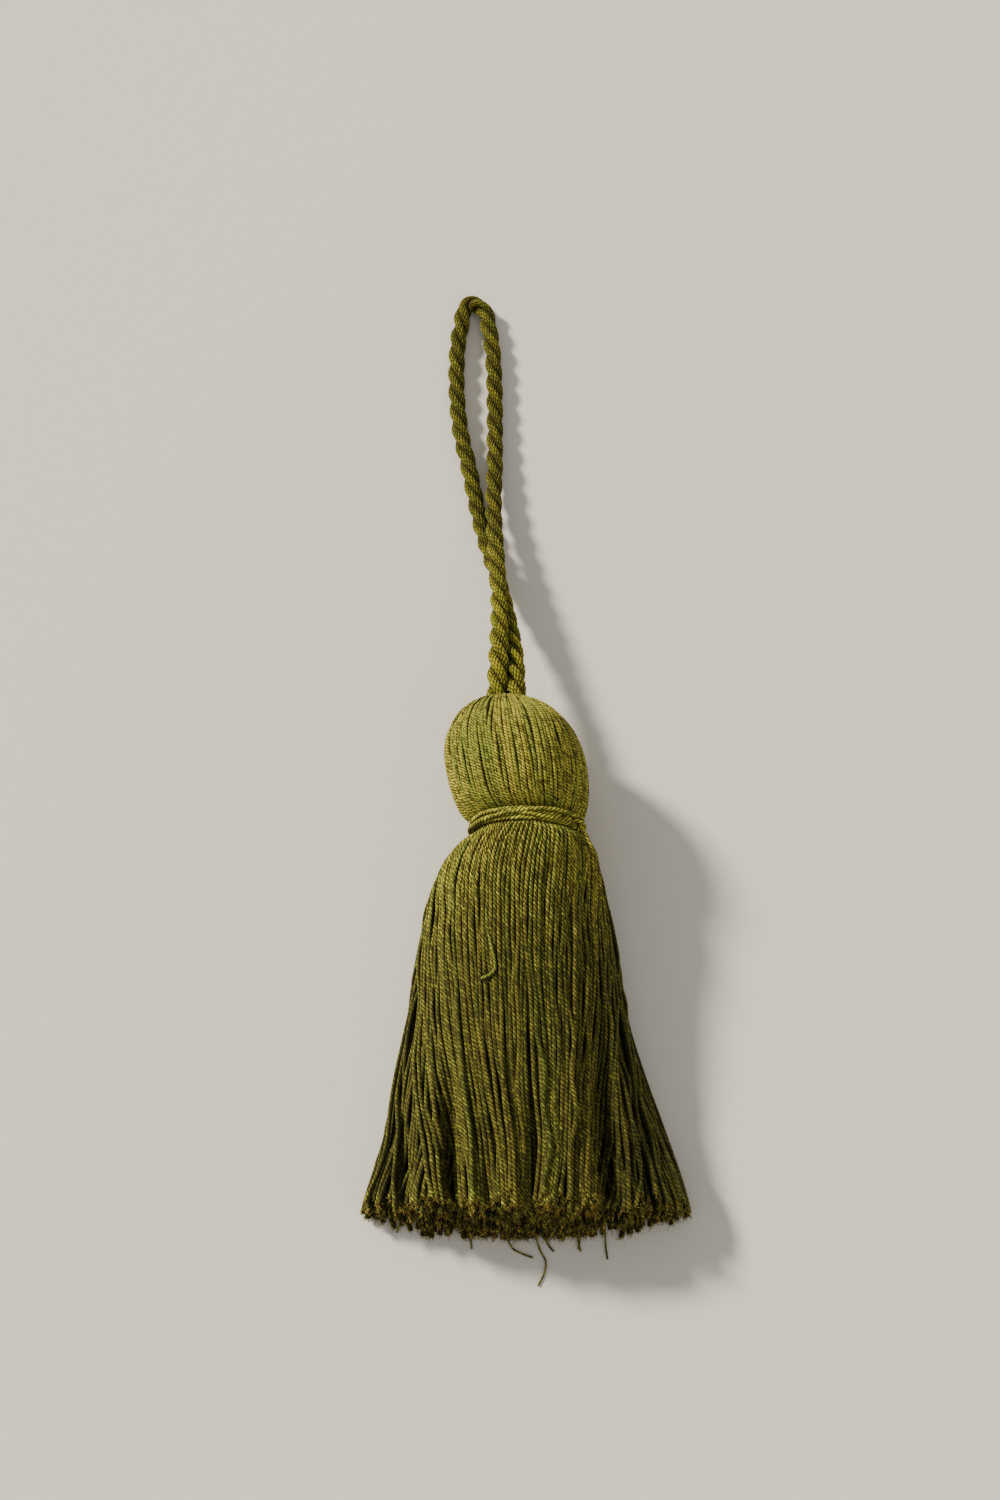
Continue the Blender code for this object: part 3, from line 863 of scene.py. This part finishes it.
stitch = np.linspace(0.0, 1.0, 22)
arch = np.sin(math.pi * stitch)
stitches = np.stack(
    [
        round_neck(KNOT_ANGLE + turn, 2.2 - 4.3 * stitch, 0.35 + 1.45 * arch**0.6)
        for turn in (-3.6, 1.6)
    ]
)
hitch = round_neck(KNOT_ANGLE + 9.0 - 19.0 * stitch, 0.2 - 1.2 * stitch, 0.9 + 1.4 * arch**0.7)
tail = smooth_line(TAIL, 6)
binding = make_piece(
    "neck_tie",
    [
        strands(wound[None], 0.53, 8, from_neck(wound[None]), 6000),
        strands(crossing, 0.53, 8, from_neck(crossing), 6001),
        strands(stitches, 0.50, 8, from_neck(stitches), 6005),
        strands(hitch[None], 0.50, 8, from_neck(hitch[None]), 6008),
        strands(tail[None], 0.45, 8, (0.0, 0.0, 1.0), number=6009),
    ],
    ["neck_binding"],
)

# %% [markdown]
# ## Loose threads and fuzz
#
# A few single threads have slipped out of the hem and lie on the surface, and one end curls up on
# the skirt. Every cut end is frayed into fibres, and finer fibres stand off the yarns everywhere.
# Together they make yarn look soft. A fibre too fine to show its shape needs only three sides.

# %% Threads
THREAD_RADIUS = 0.24
CURL_RADIUS = 0.40
THREADS = [
    [
        (1.6, -62.0, 3.0), (1.9, -65.2, 1.2), (3.0, -68.6, 0.36),
        (4.3, -71.2, 0.31), (3.9, -74.0, 0.3), (2.4, -76.9, 0.3),
    ],
    [
        (-5.6, -63.0, 2.4), (-4.6, -66.3, 0.9), (-3.4, -68.2, 0.3),
        (-1.2, -69.4, 0.3), (1.2, -70.2, 0.3),
    ],
    [(3.6, -62.0, 2.4), (4.2, -65.3, 1.0), (4.9, -67.2, 0.35), (6.2, -68.8, 0.35)],
    [(18.3, -61.0, 2.6), (18.5, -65.2, 0.9), (18.6, -67.9, 0.35), (19.0, -70.6, 0.3)],
    [(-20.8, -60.0, 2.2), (-20.9, -62.8, 0.9), (-20.6, -64.9, 0.35)],
    [(-30.3, -60.0, 2.0), (-30.6, -62.6, 0.7), (-31.2, -64.3, 0.35)],
    [(-13.4, -62.0, 2.0), (-13.5, -66.0, 0.6), (-13.3, -68.2, 0.35)],
    [(11.6, -62.0, 2.6), (11.9, -65.6, 1.0), (12.6, -68.8, 0.35)],
    [(12.6, -62.0, 2.0), (12.5, -65.9, 0.8), (12.0, -68.2, 0.35)],
]  # fmt: skip
CURL = [
    (-9.9, 8.8, 27.8), (-9.7, 4.8, 27.9), (-9.2, 1.3, 27.9), (-8.6, -1.3, 27.75),
    (-8.0, -4.1, 27.65), (-7.75, -5.9, 27.4), (-8.1, -7.1, 27.15), (-9.1, -7.95, 27.0),
    (-10.2, -8.45, 26.7), (-11.0, -8.75, 26.35),
]  # fmt: skip


def even_line(knots, count):
    """One smooth line through the knots, with `count` points at even distances."""
    return even_steps(smooth_line(knots, 8), count)[0][None]


thread_parts = [
    strands(even_line(knots, 24), THREAD_RADIUS, 6, number=7000 + i, tone=0.8)
    for i, knots in enumerate(THREADS)
]
thread_parts.append(strands(even_line(CURL, 40), CURL_RADIUS, 6, number=7050, tone=1.10))
threads = make_piece("loose_threads", thread_parts)

# %% Frayed ends
FIBRES_AT_END = 8
FRAY_RADIUS = 0.070


def fibres(roots, ways, length, thickness, number, tone):
    """Fine bent fibres: root + way s length + bend s^2 length, for s from 0 to 1."""
    s = np.linspace(0.0, 1.0, 4)[:, None]
    bend = rng.normal(0.0, 0.35, (len(roots), 1, 3))
    lines = roots[:, None] + length[:, None, None] * (ways[:, None] * s + bend * s**2)
    lines[..., 2] = np.maximum(lines[..., 2], 1.2 * thickness)
    radii = thickness * np.array([1.0, 0.9, 0.75, 0.5])
    return strands(lines, radii, 3, number=number, tone=tone, blunt=0.2)


skirt_groups = (*skirt_lines, inner_lines)
tip_points = np.concatenate([group[:, -1] for group in skirt_groups])
tip_ways = np.concatenate([unit(group[:, -1] - group[:, -3]) for group in skirt_groups])
count = FIBRES_AT_END * YARNS
roots = np.repeat(tip_points, FIBRES_AT_END, axis=0) + rng.normal(0.0, 0.27, (count, 3))
ways = unit(np.repeat(tip_ways, FIBRES_AT_END, axis=0) + rng.normal(0.0, 0.48, (count, 3)))
fray_tone = np.repeat(rng.uniform(0.6, 1.3, YARNS), FIBRES_AT_END)[:, None]
fray_length = rng.uniform(0.3, 1.1, count)
frayed = fibres(roots, ways, fray_length, FRAY_RADIUS, 8000, fray_tone)
cut_ends = make_piece("frayed_ends", [frayed])

# %% Fuzz
FUZZ = 1300
FUZZ_RADIUS = 0.028

skin = np.concatenate([group.reshape(-1, 3) for group in (*skirt_lines, over_head)])
picked = skin[rng.integers(0, len(skin), FUZZ)]
middle = np.stack([np.full(FUZZ, -2.0), picked[:, 1], np.full(FUZZ, 12.0)], axis=1)
outward = unit(picked - middle)
ways = unit(outward + rng.normal(0.0, 0.8, (FUZZ, 3)))
roots = picked + outward * 0.45
fuzz = fibres(roots, ways, rng.uniform(0.6, 2.2, FUZZ), FUZZ_RADIUS, 20000, 1.3)
fluff = make_piece("fuzz", [fuzz])

# %% [markdown]
# ## Shader maths in Python
#
# A finish is a tree of nodes. Written as Python expressions it can be read: `Value` wraps one
# output of a node, and its operators make Math nodes. Any other node comes from `Finish.node`,
# which takes the node's type, its settings and its inputs.


# %% Values and finishes
class Value:
    """A number that varies over a surface: one output of a node."""

    def __init__(self, finish, socket):
        self.finish = finish
        self.socket = socket

    def maths(self, operation, *others):
        """This value and the others through one Math node."""
        inputs = dict(enumerate((self, *others)))
        return self.finish.node("ShaderNodeMath", {"operation": operation}, inputs)

    def between(self, low, high):
        """This value, kept between two numbers."""
        return self.maths("MAXIMUM", low).maths("MINIMUM", high)

    def __add__(self, other):
        return self.maths("ADD", other)

    def __sub__(self, other):
        return self.maths("SUBTRACT", other)

    def __rsub__(self, other):
        return self * -1.0 + other

    def __mul__(self, other):
        return self.maths("MULTIPLY", other)

    def __pow__(self, other):
        return self.maths("POWER", other)

    __radd__ = __add__
    __rmul__ = __mul__


class Finish:
    """A material whose Principled shader takes its varying inputs from expressions."""

    def __init__(self, name):
        self.material = bpy.data.materials.new(name)
        self.material.use_nodes = True
        self.tree = self.material.node_tree
        self.shader = self.tree.nodes["Principled BSDF"]

    def node(self, kind, settings=None, inputs=None, outputs=0):
        """A new node, settings first and then inputs. Returns one output, or a list of them."""
        made = self.tree.nodes.new(kind)
        for key, value in (settings or {}).items():
            setattr(made, key, value)
        for key, value in (inputs or {}).items():
            self.put(made.inputs[key], value)
        if isinstance(outputs, tuple):
            return [Value(self, made.outputs[key]) for key in outputs]
        return Value(self, made.outputs[outputs])

    def put(self, socket, value):
        """Links a Value to the socket, or sets the socket to a plain number or colour."""
        if isinstance(value, Value):
            self.tree.links.new(value.socket, socket)
        else:
            socket.default_value = value

    def mix(self, share, one, other):
        """The colour `one` at share 0 and `other` at 1."""
        settings = {"data_type": "RGBA", "clamp_factor": False}
        return self.node("ShaderNodeMix", settings, {0: share, 6: one, 7: other}, 2)

    def noise(self, place, scale):
        """Smooth noise with about `scale` waves in each unit of the place."""
        inputs = {"Vector": place, "Scale": scale, "Detail": 2.0}
        return self.node("ShaderNodeTexNoise", inputs=inputs)

    def chance(self, number, outputs="Value"):
        """A random value, the same wherever `number` is the same."""
        settings = {"noise_dimensions": "1D"}
        return self.node("ShaderNodeTexWhiteNoise", settings, {"W": number}, outputs)

    def set(self, **inputs):
        """Sets or links inputs of the shader, named with _ for a space."""
        for name, value in inputs.items():
            self.put(self.shader.inputs[name.replace("_", " ")], value)


# %% [markdown]
# ## The yarn's finish
#
# Plied yarn is several fine threads twisted together. Seen close, each thread comes to the front,
# runs slantwise across and goes under again: a row of leaning beads. On the strand's UV map that
# is a wave, of the phase threads (turn + length / lay). The bead's height is that of a half
# circle, sqrt(1 - w^2), and fine streaks along the yarn are its fibres. Light and shade are painted
# on the beads too: each is lighter at its crest and darker in the groove to the next, and a yarn
# is darker on its sides, where it dips between its neighbours. The painted light also differs at
# random from one bead to the next.
#
# All of it is maths, because an image of yarn would repeat and show its seams. No two yarns took
# the dye alike: a random number for each strand moves its colour between a yellower and a greener
# one. Cotton scatters light at a glancing angle, which is what sheen is for.


# %% Plied yarn
# The colour of the deepest painted shade, towards which the finish mixes a yarn it paints darker.
PAINTED_SHADE_COLOUR = (0.012, 0.010, 0.001, 1.0)


def plied_yarn(name, yellow, green, threads, lay, relief, uneven=1.0, grain=900.0):
    """A finish for strands: its colours, and the number, lay in mm and relief in m of its threads.

    `uneven` says how far the painted light on one bead differs from that on the next, and
    `grain` how many specks lie on a metre.
    """
    finish = Finish(name)
    uv = finish.node("ShaderNodeUVMap", {"uv_map": "strand"})
    along, around = finish.node("ShaderNodeSeparateXYZ", inputs={0: uv}, outputs=("X", "Y"))
    strand, turn = around.maths("FLOOR"), (around + 0.5).maths("FRACT") - 0.5
    number, colours = finish.chance(strand, ("Value", "Color"))
    hue, depth = finish.node(
        "ShaderNodeSeparateColor", inputs={0: colours}, outputs=("Green", "Blue")
    )

    phase = (turn + along * (1.0 / lay)) * threads + number * 7.0
    wave = phase.maths("FRACT") * 2.0 - 1.0
    bead = 1.0 - wave * wave
    # Painted light: each bead is made lighter or darker at random.
    painted_bead_light = finish.chance(phase.maths("FLOOR") + number * 100.0)
    streak_place = finish.node(
        "ShaderNodeCombineXYZ", inputs={0: along * 1.1, 1: around * 34.0, 2: number * 50.0}
    )
    streaks = finish.noise(streak_place, 1.0)
    place = finish.node("ShaderNodeTexCoord", outputs="Object")
    patches = finish.noise(place, 70.0)
    speckle = finish.noise(place, grain)
    tone = finish.node("ShaderNodeAttribute", {"attribute_name": "tone"}, outputs="Fac")

    colour = finish.mix(hue * 0.9 + speckle * 0.2 + patches * 0.6 - 0.30, yellow, green)
    # Painted shade on a yarn's sides, where it dips between its neighbours.
    painted_side_shade = ((turn * math.tau).maths("COSINE") * 0.80 + 0.38).between(0.10, 1.0)
    # Painted light and shade on each bead: lighter at its crest, darker in the groove.
    light = (bead * 1.45 - 0.14) * painted_side_shade
    light = light * (depth * 0.5 + 0.75) * (patches * 0.8 + 0.6)
    light = light * (speckle * (3.0 * uneven) + (1.0 - 1.5 * uneven)) * tone
    light = light * (streaks * 0.5 + 0.75) * (painted_bead_light * (1.1 * uneven) + (1.0 - 0.55 * uneven))
    colour = finish.mix(light.between(0.0, 1.9), PAINTED_SHADE_COLOUR, colour)
    height = bead**0.5 * 0.8 + streaks * 0.25 + speckle * 0.35
    bump_inputs = {"Strength": 1.0, "Distance": relief, "Height": height}
    bump = finish.node("ShaderNodeBump", inputs=bump_inputs)
    finish.set(Base_Color=colour, Roughness=0.9 - bead * 0.15, Normal=bump)
    finish.set(Sheen_Weight=0.12, Sheen_Roughness=0.45, Sheen_Tint=(0.80, 0.78, 0.20, 1.0))
    finish.set(Specular_IOR_Level=0.15)
    print(f"{name}: {threads} threads, lay {lay} mm")
    return finish.material


# %% [markdown]
# ## A finish for each piece
#
# It is one kind of yarn, but it doesn't look the same everywhere. On the ball it is drawn tight,
# and its twist and specks look finer. The tie lies on top of all, and its colours are painted the
# lightest: painted light, about as much as the head's tone gives the head. The cord's yarns are
# finer, of two threads, and painted darker: painted shade, as if the loop lay in less light. The
# cut ends are paler and browner than the dyed outside: partly bare fibre, and partly painted
# light, a warm glow bounced up onto the shaded cut face.

# %% Finishes of the tassel
YELLOW, GREEN = (0.303, 0.256, 0.034, 1.0), (0.149, 0.174, 0.022, 1.0)
# Painted light: the tie's colours are the yarn's, made lighter.
TIE_YELLOW, TIE_GREEN = (0.470, 0.392, 0.050, 1.0), (0.262, 0.276, 0.033, 1.0)
# Painted shade: the cord's colours are the yarn's, made darker.
SHADED_CORD_YELLOW, SHADED_CORD_GREEN = (0.190, 0.162, 0.014, 1.0), (0.104, 0.115, 0.009, 1.0)
# Partly painted light: the cut ends are paler for bare fibre and for a warm glow bounced onto the
# shaded cut face.
CUT_YELLOW, CUT_GREEN = (0.640, 0.420, 0.085, 1.0), (0.350, 0.285, 0.050, 1.0)

skirt_finish = plied_yarn("skirt_yarn", YELLOW, GREEN, 3, 3.2, 0.0005, 1.1, 1700.0)
head_finish = plied_yarn("head_yarn", YELLOW, GREEN, 3, 2.4, 0.0005, 1.25, 1900.0)
binding_finish = plied_yarn("binding_yarn", TIE_YELLOW, TIE_GREEN, 3, 3.2, 0.0005)
cord_finish = plied_yarn("cord_yarn", SHADED_CORD_YELLOW, SHADED_CORD_GREEN, 2, 2.2, 0.00015, 0.5)
cut_finish = plied_yarn("cut_yarn", CUT_YELLOW, CUT_GREEN, 1, 5.0, 0.00005)

for piece in (*skirt_pieces, core, threads, fluff):
    piece.data.materials.append(skirt_finish)
head.data.materials.append(head_finish)
binding.data.materials.append(binding_finish)
loop.data.materials.append(cord_finish)
cut_ends.data.materials.append(cut_finish)

# %% [markdown]
# ## Floor and light
#
# The tassel lies on a plain pale floor. One warm lamp, low on the upper left, draws the ball of
# the head and the plies of the cord, with a shadow to the right. A weak and very wide lamp at the
# lower right and a pale sky fill the rest.

# %% Floor
FLOOR_HALF = 8.0
CORNERS = [(-1, -1), (1, -1), (1, 1), (-1, 1)]
floor_mesh = bpy.data.meshes.new("floor")
floor_points = [(FLOOR_HALF * x, FLOOR_HALF * y, 0.0) for x, y in CORNERS]
floor_mesh.from_pydata(floor_points, [], [(0, 1, 2, 3)])
floor = bpy.data.objects.new("floor", floor_mesh)
bpy.context.scene.collection.objects.link(floor)
paint = Finish("floor")
paint.set(Base_Color=(0.74, 0.70, 0.64, 1.0), Roughness=0.8)
floor_mesh.materials.append(paint.material)
print(f"floor: {2 * FLOOR_HALF:.0f} m on a side")


# %% Lamps
def sun(name, side, elevation, softness, energy, colour):
    """A far lamp, `side` degrees from +X towards +Y, at an elevation and of a width in degrees."""
    lamp = bpy.data.lights.new(name, "SUN")
    lamp.angle = math.radians(softness)
    lamp.energy = energy
    lamp.color = colour
    holder = bpy.data.objects.new(name, lamp)
    holder.rotation_euler = (math.radians(90.0 - elevation), 0.0, math.radians(side + 90.0))
    bpy.context.scene.collection.objects.link(holder)
    print(f"{name} lamp: {energy} W on a square metre, {elevation:.0f} degrees up")


sun("key", 147.0, 31.0, 9.0, 6.3, (1.0, 0.93, 0.79))
sun("fill", -60.0, 30.0, 70.0, 0.5, (1.0, 0.96, 0.90))

world = bpy.data.worlds.new("sky")
world.use_nodes = True
sky = world.node_tree.nodes["Background"].inputs
sky["Color"].default_value = (1.0, 0.97, 0.91, 1.0)
sky["Strength"].default_value = 0.46
bpy.context.scene.world = world
